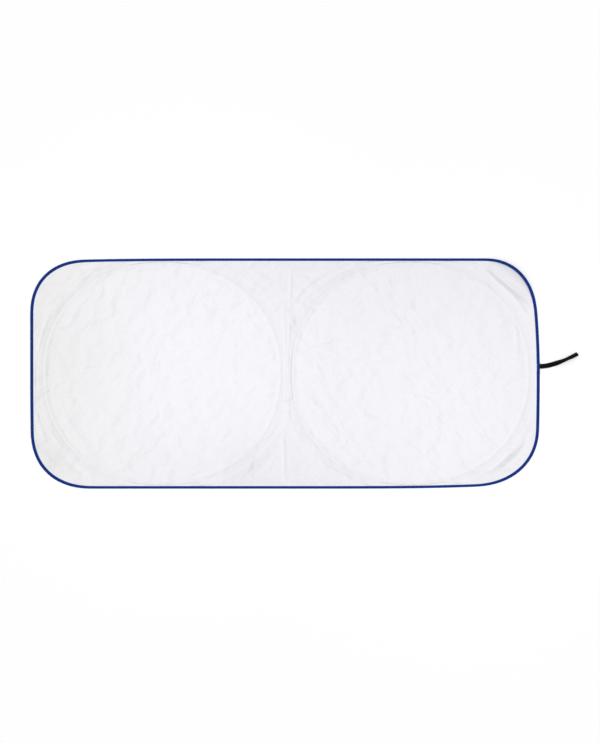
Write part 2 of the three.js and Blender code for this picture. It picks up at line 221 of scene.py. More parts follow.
def coatedClothFront():
    # White polyester taffeta, lightly coated: matt, faintly cloudy, with the crease marks of a stowed cloth
    material, tree, surface = newMaterial("coatedTaffetaWhite", Roughness=0.62, IOR=1.5, Sheen_Weight=0.08,
                                          Sheen_Roughness=0.4, Specular_IOR_Level=0.35)
    place = addNode(tree, "ShaderNodeTexCoord").outputs["Object"]
    apart = addNode(tree, "ShaderNodeSeparateXYZ", {"Vector": place})
    # The left end of the cloth is tinted a little less blue, blending in over 0.3 m
    leftEndRamp = addNode(tree, "ShaderNodeMapRange", {"Value": apart.outputs["X"]})
    leftEndRamp.inputs["From Min"].default_value = -0.60
    leftEndRamp.inputs["From Max"].default_value = -0.30
    base = addNode(tree, "ShaderNodeMix", {"Factor": leftEndRamp.outputs["Result"]}, data_type="RGBA")
    base.inputs[6].default_value = hexColour(clothLook["leftEndTint"])
    base.inputs[7].default_value = hexColour(clothLook["mainTint"])
    cloud = addNode(tree, "ShaderNodeTexNoise", {"Vector": place}, Scale=1 / (clothLook["mottleMm"] * mm),
                    Detail=3.0)
    tint = addNode(tree, "ShaderNodeMix", {"Factor": cloud.outputs["Fac"], 6: base.outputs[2]},
                   data_type="RGBA", blend_type="MULTIPLY")
    tint.inputs[7].default_value = (*[clothLook["shade"]] * 3, 1)
    # Painted shade: a share on each point of the cloth, set when the panel is built, darkens its colour
    paintedShade = addNode(tree, "ShaderNodeAttribute", attribute_name="paintedShade")
    shadedTint = addNode(tree, "ShaderNodeMix", {"Factor": paintedShade.outputs["Fac"], 6: tint.outputs[2]},
                     data_type="RGBA", blend_type="MULTIPLY")
    shadedTint.inputs[7].default_value = (*[clothLook["paintedShade"]] * 3, 1)
    tree.links.new(shadedTint.outputs[2], surface.inputs["Base Color"])
    weave = weaveBump(tree, place, clothLook["threadMm"], 0.15, 0.03)
    marked = crumpleBump(tree, place, weave.outputs["Normal"], clothLook["crumple"])
    tree.links.new(marked, surface.inputs["Normal"])
    return material


def coatedClothBack():
    # Vacuum-silvered back of the same cloth: dull metal film that shows the weave
    material, tree, surface = newMaterial("silveredBack", Metallic=0.55, Roughness=0.42)
    place = addNode(tree, "ShaderNodeTexCoord").outputs["Object"]
    cloud = addNode(tree, "ShaderNodeTexNoise", {"Vector": place}, Detail=4.0,
                    Scale=1 / (clothLook["backCloudMm"] * mm))
    tint = addNode(tree, "ShaderNodeMix", {"Factor": cloud.outputs["Fac"]}, data_type="RGBA")
    tint.inputs[6].default_value = hexColour(clothLook["back"])
    tint.inputs[7].default_value = hexColour(clothLook["backCloud"])
    tree.links.new(tint.outputs[2], surface.inputs["Base Color"])
    weave = weaveBump(tree, place, clothLook["threadMm"], 0.25, 0.04)
    marked = crumpleBump(tree, place, weave.outputs["Normal"], clothLook["crumple"])
    tree.links.new(marked, surface.inputs["Normal"])
    return material


def wovenTape(name, light, dark, ribMm, roughness):
    # Narrow woven tape: ribs run across it, read from the piece's own UV map in metres, and its colour
    # wavers every 6 mm. The yarns shade each other, so little shine is left of it
    material, tree, surface = newMaterial(name, Roughness=roughness, IOR=1.5, Specular_IOR_Level=0.08)
    place = addNode(tree, "ShaderNodeUVMap").outputs["UV"]
    ribs = addNode(tree, "ShaderNodeTexWave", {"Vector": place}, Scale=waveScale(ribMm), bands_direction="X",
                   Distortion=0.4)
    fray = addNode(tree, "ShaderNodeTexNoise", {"Vector": place}, Scale=1 / (6.25 * mm), Detail=3.0)
    share = addNode(tree, "ShaderNodeMath", {0: ribs.outputs["Fac"], 1: fray.outputs["Fac"]},
                    operation="MULTIPLY")
    tint = addNode(tree, "ShaderNodeMix", {"Factor": share.outputs[0]}, data_type="RGBA")
    tint.inputs[6].default_value = hexColour(dark)
    tint.inputs[7].default_value = hexColour(light)
    tree.links.new(tint.outputs[2], surface.inputs["Base Color"])
    bump = addNode(tree, "ShaderNodeBump", {"Height": ribs.outputs["Fac"]}, Strength=0.35, Distance=0.12 * mm)
    tree.links.new(bump.outputs["Normal"], surface.inputs["Normal"])
    return material


def stitchThread(name, colour):
    # Twisted polyester thread: soft, slightly shiny, with its twist drawn at twice the real pitch
    material, tree, surface = newMaterial(name, Roughness=0.5, IOR=1.5)
    place = addNode(tree, "ShaderNodeTexCoord").outputs["Object"]
    grain = addNode(tree, "ShaderNodeTexNoise", {"Vector": place}, Scale=1 / (stitch["twistMm"] * mm))
    tint = addNode(tree, "ShaderNodeMix", {"Factor": grain.outputs["Fac"]}, data_type="RGBA")
    base = hexColour(colour)
    tint.inputs[6].default_value = base
    tint.inputs[7].default_value = (*[c * 0.75 for c in base[:3]], 1)
    tree.links.new(tint.outputs[2], surface.inputs["Base Color"])
    return material


def springSteel():
    # Tempered strip: bluish grey with the faint 2.5 mm mottle of its tempering
    material, tree, surface = newMaterial("springSteel", Metallic=1.0, Roughness=0.32)
    place = addNode(tree, "ShaderNodeTexCoord").outputs["Object"]
    mottle = addNode(tree, "ShaderNodeTexNoise", {"Vector": place}, Scale=1 / (2.5 * mm), Detail=2.0)
    tint = addNode(tree, "ShaderNodeMix", {"Factor": mottle.outputs["Fac"]}, data_type="RGBA")
    tint.inputs[6].default_value = hexColour("#7E828A")
    tint.inputs[7].default_value = hexColour("#9A9DA3")
    tree.links.new(tint.outputs[2], surface.inputs["Base Color"])
    return material


def platedSteel():
    # Zinc-plated sheet of the crimped ferrule: pale grey, dull, with a spangle of 1.7 mm
    material, tree, surface = newMaterial("zincPlate", Metallic=1.0, Roughness=0.38)
    place = addNode(tree, "ShaderNodeTexCoord").outputs["Object"]
    spangle = addNode(tree, "ShaderNodeTexVoronoi", {"Vector": place}, Scale=1 / (1.7 * mm))
    tint = addNode(tree, "ShaderNodeMix", {"Factor": spangle.outputs["Distance"]}, data_type="RGBA")
    tint.inputs[6].default_value = hexColour("#B6B9BE")
    tint.inputs[7].default_value = hexColour("#9FA2A8")
    tree.links.new(tint.outputs[2], surface.inputs["Base Color"])
    return material


# Outline of the sheet and the line of each hoop, in millimetres, as the CAD has them

strip = 0.7                 # thickness of the spring strip
outline = {
    "halfHeight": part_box("panel")[1].y / mm,
    "rightReach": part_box("panel")[1].x / mm,
    "leftReach": -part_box("panel")[0].x / mm,
    "fullness": 2.32,
    "corners": {            # reach along the long edge, reach down the end, draw of each edge
        (-1, 1): (143, 135, 3, 0),
        (-1, -1): (154, 150, 0, 1),
        (1, 1): (119, 141, 0, 6),
        (1, -1): (160, 140, 5, 2),
    },
}
hoop = {
    "halfLength": (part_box("hoop_left")[1].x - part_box("hoop_left")[0].x) / 2 / mm - strip / 2,
    "halfHeight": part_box("hoop_left")[1].y / mm - strip / 2,
    "centre": (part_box("hoop_right")[1].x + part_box("hoop_right")[0].x) / 2 / mm,
    "squareness": 2.15,
    "raysInside": 120,      # both divide by eight, for the coarser middle of the net
    "raysOutside": 360,
}


def insideSheet(x, y, inset):
    side = 1 if x >= 0 else -1
    along, down, drawLong, drawEnd = outline["corners"][(side, 1 if y >= 0 else -1)]
    reach = outline["rightReach"] if side > 0 else outline["leftReach"]
    halfHeight = outline["halfHeight"]
    halfX = reach - drawEnd * (y / (halfHeight - down)) ** 2 - inset
    halfY = halfHeight - drawLong * (x / (reach - along)) ** 4 - inset
    across = max(0, (abs(x) - halfX + along - inset) / (along - inset))
    upward = max(0, (abs(y) - halfY + down - inset) / (down - inset))
    return across ** outline["fullness"] + upward ** outline["fullness"] < 1


def edgeDistance(startX, angle, inset):
    near, far = 0, 1400
    for _ in range(34):
        middle = (near + far) / 2
        if insideSheet(startX + middle * math.cos(angle), middle * math.sin(angle), inset):
            near = middle
        else:
            far = middle
    return near


def hoopRadius(angle):
    power = hoop["squareness"]
    across = np.abs(np.cos(angle) / hoop["halfLength"]) ** power
    upward = np.abs(np.sin(angle) / hoop["halfHeight"]) ** power
    return (across + upward) ** (-1 / power)


def hoopAngles(side):
    reach = math.atan2(outline["halfHeight"], hoop["centre"])
    turn = math.pi if side > 0 else 0
    inner = [turn - reach + 2 * reach * i / hoop["raysInside"] for i in range(hoop["raysInside"])]
    outerTurn = 2 * (math.pi - reach)
    outer = [turn + reach + outerTurn * i / hoop["raysOutside"] for i in range(hoop["raysOutside"])]
    return np.array(inner + outer)


print("outline ready")

# Cloth panel: a fine polar net over each hoop, shaped by what holds it and by its creases

panel = {
    "thicknessMm": 0.3,
    "tapeLift": 0.6,        # cloth over a casing tape
    "crown": 4.1,           # cloth over the spring strip
    "crownHalf": 0.65,
    "ferruleRise": 0.7,
    "ferruleAt": {-1: 64, 1: 118},
    "seamInside": 5.2,
    "seamLift": 3.25,       # where the inner stitches hold cloth and tape together
    "outerSeamLift": 3.5,
    "discLevel": 3.2,       # the drawn cloth inside a hoop off the floor
    "seamOutside": 9,
    "seamOutsideLeast": 1.9,
    "outerAllowance": 0.8,
    "bindingWidth": 6,
    "bindingWidthEnds": 7.3,    # the tape is folded wider round the two ends
    "bindingLift": 0.7,
    "pillow": 0.8,          # how far the cloth stands up beside a seam
    "pillowReach": 11,
    "creaseDepth": 2.3,
    "slackLevel": 4.2,      # the slack cloth off the floor, outside the hoops
    "slackRise": 30,        # how far from the binding it gets there
    "slackRows": 24,
    "discRows": 58,
    "crumple": 0.8,
    "crumpleMm": 60,
    "swell": 1.3,
    "swellMm": 210,
    "seed": 7,
    "cornerCurl": 18,       # the unsupported corner at the top right stands up off the floor
}

# Creases that the eye picks out: height as a share of creaseDepth (grooves are negative), half width in mm,
# then the places that each one passes, in mm
creases = [
    # pressed fold between the hoops, above and below
    (-1.1, 3.5, (10, 282), (9, 222), (9, 166)),
    (-0.9, 3.4, (-9, 176), (-5, 80), (-4, -90)),
    (-0.8, 3.4, (7, 165), (4, 60), (5, -130)),
    (-1.3, 3.6, (-10, -150), (-8, -205), (-6, -284)),
    # folds that meet on it in a V, and the slack line below the binding
    (-1.1, 4.2, (-95, 262), (-40, 232), (8, 208)),
    (-1.2, 4.6, (150, 281), (80, 248), (40, 217), (9, 172)),
    (-0.5, 3.0, (-131, 272), (136, 272)),
    # slack gathered along the lower left hoop
    (-1.0, 4.5, (-62, -150), (-106, -201), (-157, -252), (-208, -280)),
    (-1.0, 5.5, (-40, -168), (-80, -221), (-124, -274)),
    (-0.8, 4.5, (-24, -205), (-52, -247), (-80, -280)),
    (-0.8, 4.0, (85, -227), (125, -250), (167, -265)),
    # top right corner: a hard fold, the ridge beyond it
    (-0.9, 4.5, (494, 272), (542, 230), (572, 202), (596, 174), (621, 138), (636, 100)),
    (2.7, 6.0, (514, 268), (549, 236), (580, 212), (609, 190), (634, 158)),
    # bottom right corner: two folds with a full ridge between
    (-0.8, 4.2, (430, -276), (470, -262), (522, -244), (542, -229), (572, -201), (607, -172)),
    (1.9, 9.0, (520, -266), (562, -233), (584, -211), (612, -178)),
    (-1.0, 5.0, (548, -268), (590, -238), (616, -206)),
    # bottom left corner
    (-2.0, 5.0, (-611, -92), (-603, -126), (-592, -159), (-576, -182), (-537, -217), (-510, -243)),
    (-0.9, 5.0, (-581, -68), (-556, -122), (-532, -159), (-505, -186)),
    (-1.4, 4.5, (-639, -100), (-632, -135), (-614, -176)),
    (-1.8, 6.5, (-634, -196), (-606, -226), (-570, -250)),
    (1.5, 8.0, (-566, -222), (-540, -242), (-512, -258)),
    # top left corner
    (-1.3, 4.5, (-552, 226), (-530, 254), (-505, 270), (-440, 277)),
    (-1.8, 4.5, (-634, 50), (-622, 108), (-604, 156)),
    (-1.6, 4.5, (-588, 152), (-571, 177), (-546, 209), (-505, 242)),
    (-1.0, 4.5, (-560, 118), (-530, 172), (-494, 210)),
    # wrinkles in the drawn cloth of the two discs
    (-1.5, 3.8, (44, 67), (95, 81), (146, 92)),
    (-0.6, 4.5, (196, 107), (265, 104)),
    (-1.0, 5.0, (577, 150), (586, 96), (585, 38)),
    (-1.0, 4.2, (508, -4), (596, -12)),
    (-1.0, 4.5, (-480, 138), (-424, 164)),
    (-0.7, 5.0, (-588, 106), (-546, 100), (-504, 97)),
    (-0.8, 4.5, (-112, 162), (-88, 124), (-68, 90)),
    (-1.2, 5.5, (-138, 252), (-112, 214), (-86, 172)),
]


def creaseHeight(x, y):
    total = np.zeros_like(x)
    for height, halfWidth, *line in creases:
        line = np.array(line, dtype=float)
        way = walked(line, closed=False)
        nearest = np.full_like(x, 1e9)
        along = np.zeros_like(x)
        for start, end, before in zip(line, line[1:], way):
            length = np.linalg.norm(end - start)
            heading = (end - start) / length
            share = np.clip((x - start[0]) * heading[0] + (y - start[1]) * heading[1], 0, length)
            distance = np.hypot(x - start[0] - share * heading[0], y - start[1] - share * heading[1])
            closer = distance < nearest
            nearest = np.where(closer, distance, nearest)
            along = np.where(closer, (before + share) / way[-1], along)
        fade = np.sin(np.clip(along, 0, 1) * math.pi) ** 0.6
        total += height * fade * np.exp(-(nearest / halfWidth) ** 2)
    return total


def beyondRidge(x, y):
    # Distance past the ridge of the top right corner
    return (x - 574) * 0.66 + (y - 217) * 0.75


def cornerCurl(x, y):
    # How far the top right corner stands up; it starts just past the ridge and steepens to the binding
    share = np.clip((beyondRidge(x, y) - 9) / 58, 0, 1.25)
    return panel["cornerCurl"] * share ** 1.5 * smoothStep(x, 440, 545) * smoothStep(y, 130, 200)


def softNoise(x, y, sizeMm, seed):
    # Smooth lattice noise from -1 to 1, the same on every run
    lattice = np.random.default_rng(seed).uniform(-1, 1, (64, 64))
    u, v = x / sizeMm + 20, y / sizeMm + 20
    column, row = np.floor(u).astype(int), np.floor(v).astype(int)
    a, b = u - column, v - row
    a, b = a * a * a * (a * (6 * a - 15) + 10), b * b * b * (b * (6 * b - 15) + 10)
    corner = lambda i, j: lattice[(row + j) % 64, (column + i) % 64]
    low = corner(0, 0) * (1 - a) + corner(1, 0) * a
    high = corner(0, 1) * (1 - a) + corner(1, 1) * a
    return low * (1 - b) + high * b


def crumpleHeight(x, y):
    # Cloth that was folded small shows soft facets: ridged noise, turned and layered
    seed = panel["seed"]
    wander = 18 * softNoise(x, y, 90, seed + 1)
    total = np.zeros_like(x)
    for layer, (size, share) in enumerate(((1.0, 1.0), (0.52, 0.5), (0.3, 0.22))):
        turn = 0.6 + 1.1 * layer
        u = x * math.cos(turn) + y * math.sin(turn) + wander
        v = -x * math.sin(turn) + y * math.cos(turn) - wander
        ridge = 1 - np.abs(softNoise(u, 1.7 * v, panel["crumpleMm"] * size, seed + 2 + layer)) * 2
        total += share * ridge
    return total * 0.5


def turnBetween(first, second):
    return (first - second + 180) % 360 - 180


def tapeExtra(x):
    share = smoothStep(np.abs(x), 470, 590)
    return (panel["bindingWidthEnds"] - panel["bindingWidth"]) * share


def clothRay(side, angle, meetsMiddle):
    # Radii of the cloth along one ray, outward from the hoop's centre, and the height of its outer seam
    wire = float(hoopRadius(angle))
    centreX = side * hoop["centre"]
    cosine = abs(math.cos(angle))
    if meetsMiddle:
        edge, inner = hoop["centre"] / cosine, (hoop["centre"] - 4) / cosine
    else:
        edge = edgeDistance(centreX, angle, 0)
        extra = float(tapeExtra(centreX + edge * math.cos(angle)))
        inner = edgeDistance(centreX, angle, panel["bindingWidth"] + extra + 0.3)
    seamOut = min(max((inner - wire - 3) / 2, panel["seamOutsideLeast"]), panel["seamOutside"])
    tapeOut = min(seamOut + panel["outerAllowance"], inner - wire)
    raised = float(smoothStep(seamOut, 2, 6))
    if meetsMiddle:
        raised = max(raised, 0.6)
    else:
        raised *= 1 - 0.4 * float(smoothStep(-centreX - edge * math.cos(angle), 420, 580))
    outerLift = panel["tapeLift"] + (panel["outerSeamLift"] - panel["tapeLift"]) * raised
    return wire, edge, inner, seamOut, tapeOut, outerLift


elastic = {
    "widthMm": 12,
    "thicknessMm": 0.9,
    "reachMm": 100,
    "tuckMm": 7,
    "heightMm": 18.4,       # where it leaves the edge, above the middle of the sheet
    "riseMm": 31,           # how far its tip lies above that
    "bellyMm": 2.6,         # widest gap between its two legs
    "gapMm": 0.3,
    "twist": 58,
    "drawn": 0.35,          # the selvedges draw in where the ribbon doubles back
    "liftMm": 2.4,          # how far it lifts the edge of the cloth, and how far off that starts
    "liftReach": 8,
    "liftSide": 1.5,
    "light": "#0B0B0C",
    "dark": "#030304",
    "ribMm": 0.8,
}


def loopRaise(side, x, y):
    if side < 0 or x < hoop["centre"]:
        return 0
    offset = abs(y - elastic["heightMm"]) - elastic["widthMm"] / 2 - elastic["liftSide"]
    return elastic["liftMm"] * float(smoothStep(-offset, -elastic["liftReach"], 0))


def betweenHoops(lift, fromSeam):
    # The strip of cloth between the two hoops hangs a little from the seams on both sides of it
    return lift * (1 - 0.5 * float(smoothStep(fromSeam, 0, 26)))


def clothRow(side, angle, meetsMiddle):
    # Radius, held height and looseness of the cloth at each row of the net, outward along one ray
    wire, edge, inner, seamOut, tapeOut, lift = clothRay(side, angle, meetsMiddle)
    crown, half = panel["crown"], panel["crownHalf"]
    nearJoint = abs(turnBetween(math.degrees(angle), panel["ferruleAt"][side]))
    bump = panel["ferruleRise"] * float(smoothStep(-nearJoint, -6.5, -4))
    edgeX, edgeY = side * hoop["centre"] + edge * math.cos(angle), edge * math.sin(angle)
    raised = 0 if meetsMiddle else loopRaise(side, edgeX, edgeY)
    rimLift = 0 if meetsMiddle else panel["bindingLift"] + raised
    seamIn = wire - panel["seamInside"]
    reach = panel["pillowReach"]
    seam, level = panel["seamLift"], panel["discLevel"]
    rows = []
    for i in range(1, panel["discRows"] + 1):
        rows.append(((seamIn - 2 * reach) * i / panel["discRows"], level, 1.0))
    for share in (0.15, 0.3, 0.45, 0.6, 0.72, 0.82, 0.9, 0.96):
        # pillow inside the inner seam: up, then steeply down into the stitches
        down = float(smoothStep(share, 0.3, 1))
        height = level + (seam - level) * down + panel["pillow"] * math.sin(math.pi * share ** 1.8)
        rows.append((seamIn - 2 * reach * (1 - share), height, 1 - float(smoothStep(share, 0.5, 0.95))))
    rows.append((seamIn, seam, 0))
    for share in (0.25, 0.5, 0.75, 1):
        rows.append((seamIn + share * (wire - half - bump - seamIn), seam + (crown + bump - seam) * share, 0))
    rows.append((wire, crown + bump + 0.12, 0))
    slackStart = wire + max(tapeOut, seamOut)
    slack = max(inner - slackStart, 0.05)
    room = float(smoothStep(slack, 4, 40))
    slackLevel = panel["slackLevel"] * (1 - 0.85 * float(smoothStep(-edgeX, 420, 580)))
    for share in (0, 0.25, 0.5, 0.75, 1):
        rows.append((wire + half + bump + share * (seamOut - half - bump),
                     lift + (crown + bump - lift) * (1 - share) ** 1.15, 0))
    for i in range(1, panel["slackRows"] + 1):
        share = i / (panel["slackRows"] + 1)
        fromTape, fromRim = share * slack, (1 - share) * slack
        loose = float(smoothStep(fromTape, 1, 9))
        if meetsMiddle:
            fromSeam, clear = betweenHoops(lift, fromTape), fromTape
        else:
            fromSeam, clear = lift * (1 - float(smoothStep(fromTape, 0, 13))), min(fromTape, fromRim)
            loose = min(loose, float(smoothStep(fromRim, 0.5, 7)))
        fromBinding = rimLift * max(0, 1 - fromRim / (4 + 4 * raised))
        puff = math.sin(math.pi * min(1, fromTape / 2 / reach)) * panel["pillow"] * 0.4 * room
        level = slackLevel * room * float(smoothStep(clear, 0, panel["slackRise"]))
        rows.append((slackStart + share * slack, max(fromSeam, fromBinding, puff + level), loose))
    middleLevel = slackLevel * room * float(smoothStep(slack, 0, panel["slackRise"]))
    lastLift = max(betweenHoops(lift, slack), middleLevel) if meetsMiddle else rimLift
    for radius in (inner, (inner + edge) / 2, edge):
        loose = float(smoothStep(slack + radius - inner, 1, 9)) if meetsMiddle else 0
        rows.append((radius, lastLift, loose))
    return rows


def clothNet(side):
    # Front and back height of every place on the net of one hoop
    angles = hoopAngles(side)
    middle = [0 < i < hoop["raysInside"] for i in range(len(angles))]
    table = np.array([clothRow(side, a, m) for a, m in zip(angles, middle)])
    x = side * hoop["centre"] + table[..., 0] * np.cos(angles)[:, None]
    y = table[..., 0] * np.sin(angles)[:, None]
    held, loose = table[..., 1], table[..., 2]
    free = (panel["creaseDepth"] * creaseHeight(x, y) + panel["crumple"] * crumpleHeight(x, y)
            + panel["swell"] * (1 + softNoise(x, y, panel["swellMm"], 3)) / 2)
    curl = cornerCurl(x, y)
    height = held + loose * free
    fromEdge = outline["halfHeight"] - np.abs(y)
    freed = np.where(np.array(middle)[:, None], smoothStep(fromEdge, panel["bindingWidth"], 20), 1)
    height = panel["bindingLift"] + (height - panel["bindingLift"]) * freed
    held = panel["bindingLift"] + (held - panel["bindingLift"]) * freed
    front = (height + np.sqrt(height ** 2 + 0.25)) / 2 + curl + panel["thicknessMm"]
    back = np.maximum(held - 2.6 * loose, 0.02) + curl
    return np.stack((x, y, front), -1), np.stack((x, y, back), -1)


def layNet(net, rows, thinning, places, points, flip):
    # Rings of the net from its middle outward; a ring with a larger thinning has fewer places on it
    rings = []
    for row, thin in zip(rows, thinning):
        ring = []
        for point in net[::thin, row]:
            key = (round(point[0] * 1e3), round(point[1] * 1e3), flip)
            if key not in places:
                places[key] = len(points)
                points.append(point * mm)
            ring.append(places[key])
        rings.append(ring)
    middle = len(points)
    centre = net[:, rows[0]].mean(0)
    points.append(centre * mm)
    faces = [(middle, a, b) for a, b in zip(rings[0], rings[0][1:] + rings[0][:1])]
    for inner, outer in zip(rings, rings[1:]):
        step = len(outer) // len(inner)
        for i in range(len(inner)):
            outside = [outer[(i * step + k) % len(outer)] for k in range(step + 1)]
            faces.append((inner[i], *outside, inner[(i + 1) % len(inner)]))
    if flip:
        faces = [face[::-1] for face in faces]
    return faces, rings[-1]


def paintedShadeShare(x, y):
    # Painted shade: the slack cloth outside the hoops is painted a little darker, but not at the lower left,
    # and more below the middle, where a fan of folds lies, and in the two right corners, along the binding. A
    # thin grey line is painted over each hoop, and the left end is painted a little darker as shade
    side = np.where(x < 0, -1, 1)
    across = x - side * hoop["centre"]
    beyond = np.hypot(across, y) - hoopRadius(np.arctan2(y, across))
    upperRight = smoothStep(x, 430, 560) * smoothStep(y, -120, 0)
    hoopLine = np.exp(-((beyond - 1) / 3.2) ** 2)
    lowerLeft = smoothStep(-x, 130, 260) * smoothStep(-y, 60, 200)
    outside = smoothStep(beyond, -8, 2) * smoothStep(x, -560, -400) * (1 - upperRight) * (1 - lowerLeft)
    # painted shade of the fan of folds below the middle
    fan = np.exp(-((x + 105) / 60) ** 2 - ((y + 235) / 70) ** 2)
    # painted shade at the left end and by the lower left corner
    held = 0.18 * np.exp(-((x + 510) / 95) ** 2 - ((y - 45) / 120) ** 2)
    held += 0.3 * np.exp(-((x + 605) / 40) ** 2 - ((y + 215) / 45) ** 2)
    # painted shade along the binding in the two right corners, where the cloth curls up
    corner = smoothStep(beyondRidge(x, y), 6, 36) * smoothStep(x, 440, 545) * smoothStep(y, 90, 160)
    lower = smoothStep((x - 590) * 0.68 - (y + 238) * 0.73, -4, 14) * smoothStep(x, 440, 545)
    return np.clip(0.15 * outside + 0.24 * hoopLine + 0.26 * fan + 0.72 * corner + 0.6 * lower + held, 0, 1)


def buildPanel():
    places, points, faces, backFaces = {}, [], [], []
    for side in (-1, 1):
        front, back = clothNet(side)
        last = front.shape[1] - 1
        rows = list(range(last + 1))
        thinning = [8 if row < 7 else 4 if row < 14 else 2 if row < 29 else 1 for row in rows]
        frontFaces, frontRim = layNet(front, rows, thinning, places, points, False)
        coarse = list(range(3, panel["discRows"], 5))
        coarse += [row for row in range(panel["discRows"] + 1, last, 2)] + [last]
        seam = panel["discRows"] + 8        # every row is kept from the inner seam to past the outer one
        coarse = sorted(set(coarse) | set(range(seam, seam + 13)))
        thinning = [4 if row < panel["discRows"] else 2 for row in coarse]
        silver, backRim = layNet(back, coarse, thinning, places, points, True)
        faces += frontFaces
        backFaces += silver
        for i in range(len(backRim)):
            if 2 * i < hoop["raysInside"]:
                continue
            outside = [frontRim[(2 * i + k) % len(frontRim)] for k in range(3)]
            faces.append((backRim[i], backRim[(i + 1) % len(backRim)], *outside[::-1]))
    faces = [tuple(dict.fromkeys(face)) for face in faces]
    backFaces = [tuple(dict.fromkeys(face)) for face in backFaces]
    faces = [face for face in faces if len(face) > 2]
    backFaces = [face for face in backFaces if len(face) > 2]
    cloth = meshObject("panel_cloth", points, faces + backFaces)
    spots = np.array(points) / mm
    # painted shade share of every point of the cloth
    paintedShade = cloth.data.attributes.new("paintedShade", "FLOAT", "POINT")
    paintedShade.data.foreach_set("value", paintedShadeShare(spots[:, 0], spots[:, 1]))
    cloth.data.materials.append(coatedClothFront())
    cloth.data.materials.append(coatedClothBack())
    behind = np.zeros(len(cloth.data.polygons), dtype=np.int32)
    behind[len(faces):] = 1
    cloth.data.polygons.foreach_set("material_index", behind)
    smoothByAngle(cloth, 60)
    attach(cloth, "root")
    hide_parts("panel")
    return cloth


cloth = buildPanel()
print("panel ready", sum(len(face.vertices) - 2 for face in cloth.data.polygons), "triangles")

# Edge binding: woven tape folded over the raw edge, its ends lapped beside the elastic

binding = {
    "stepMm": 2.5,
    "light": "#1344A2",
    "dark": "#062267",
    "ribMm": 1.1,
    "stitchInset": 4.7,
    "lapHeightMm": 5.6,
    "lapMm": 13,
    "stitchTop": 1.38,      # height of the dent that the stitches lie in, and of those underneath
    "stitchUnder": 0.2,
    "lapProudMm": 0.28,
    "wobbleMm": 0.08,       # the tape isn't quite even in height
    "wobbleSizeMm": 9,
    # inset and height of the folded tape's section, round it once
    "section": [(6.0, 0.12), (3.2, 0.1), (0.5, 0.12), (-0.32, 0.32), (-0.62, 0.8), (-0.36, 1.26), (0.35, 1.5),
                (2.4, 1.54), (4.2, 1.46), (4.7, 1.38), (5.2, 1.44), (6.0, 1.46), (6.05, 1.18), (4.7, 1.1),
                (0.0, 1.16), (-0.28, 0.8), (0.0, 0.42), (6.0, 0.44)],
}


def rimLine(stepMm):
    # Points of the sheet's edge at even steps, counter-clockwise, with the direction inward
    angles = np.linspace(0, 2 * math.pi, 1800, endpoint=False)
    distances = np.array([edgeDistance(0, a, 0) for a in angles])
    rough = np.stack((distances * np.cos(angles), distances * np.sin(angles)), -1)
    way = walked(rough)
    ring = np.vstack((rough, rough[:1]))
    count = round(way[-1] / stepMm)
    even = np.linspace(0, way[-1], count, endpoint=False)
    points = np.stack((np.interp(even, way, ring[:, 0]), np.interp(even, way, ring[:, 1])), -1)
    ahead = np.roll(points, -1, 0) - np.roll(points, 1, 0)
    ahead /= np.linalg.norm(ahead, axis=1)[:, None]
    inward = np.stack((-ahead[:, 1], ahead[:, 0]), -1)
    raised = np.array([loopRaise(1 if x > 0 else -1, x, y) for x, y in points])
    return points, inward, raised + cornerCurl(points[:, 0], points[:, 1])


def foldedTape(points, inward, raised, section, grow=0):
    # The section set upright at every point of the edge; it can be grown from its middle for the lap
    section = np.array(section)
    outward = section - (3.0, 0.85)
    section = section + grow * outward / np.linalg.norm(outward, axis=1)[:, None]
    inset = section[None, :, 0] + tapeExtra(points[:, :1]) * smoothStep(section[None, :, 0], 1, 4)
    xy = points[:, None, :] + inward[:, None, :] * inset[..., None]
    z = raised[:, None] + section[None, :, 1]
    return np.concatenate((xy, z[..., None]), -1)


def buildBinding():
    points, inward, raised = rimLine(binding["stepMm"])
    way = np.arange(len(points)) * binding["stepMm"]
    wobble = binding["wobbleMm"] * softNoise(way, np.zeros(len(points)), binding["wobbleSizeMm"], 21)
    tape = foldedTape(points, inward, raised + np.maximum(wobble, 0), binding["section"])
    across = walked(np.array(binding["section"]))
    piece = loftSections("binding_tape", tape, True, walked(points), across)
    lapTop = binding["lapHeightMm"]
    near = [i for i, (x, y) in enumerate(points)
            if x > hoop["centre"] and lapTop - binding["lapMm"] < y < lapTop]
    near.sort(key=lambda i: points[i, 1])
    upperEnd = [pair for pair in binding["section"] if pair[1] > 0.8 or pair[0] < 0]
    outer = foldedTape(points[near], inward[near], raised[near], upperEnd, binding["lapProudMm"])
    lap = loftSections("binding_lap", outer, False, walked(points[near]), walked(np.array(upperEnd)))
    chooseOnly(piece)
    lap.select_set(True)
    bpy.ops.object.join()
    smoothByAngle(piece, 50)
    piece.data.materials.append(wovenTape("wovenBindingBlue", binding["light"], binding["dark"],
                                          binding["ribMm"], 0.7))
    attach(piece, "root")
    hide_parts("edge_binding")
    return piece


bindingPiece = buildBinding()
print("binding ready")

# Casing tapes on the back

casing = {
    "thicknessMm": 0.3,
    "liftMm": 0.1,
    "clearMm": 0.1,         # between the tape and the cloth over it
    "seamAllowance": 3,
    "outerRowFrom": 3.2,    # the outer row of stitches runs where its seam is this far from the strip
    "light": "#D9DADF",
    "dark": "#B9BBC1",
    "ribMm": 0.9,
}


def seamRadii(side):
    angles = hoopAngles(side)
    middle = [0 < i < hoop["raysInside"] for i in range(len(angles))]
    table = np.array([clothRay(side, a, m) for a, m in zip(angles, middle)])
    return angles, table


def hoopPoints(side, angles, radii, height):
    x = side * hoop["centre"] + radii * np.cos(angles)
    y = radii * np.sin(angles)
    return np.stack((x, y, np.broadcast_to(height, x.shape)), -1)


def casingHeights(table):
    # Underside of the tape at its inner and its outer seam, where it meets the cloth
    under = casing["thicknessMm"] + casing["clearMm"]
    return panel["seamLift"] - under, table[:, 5] - under


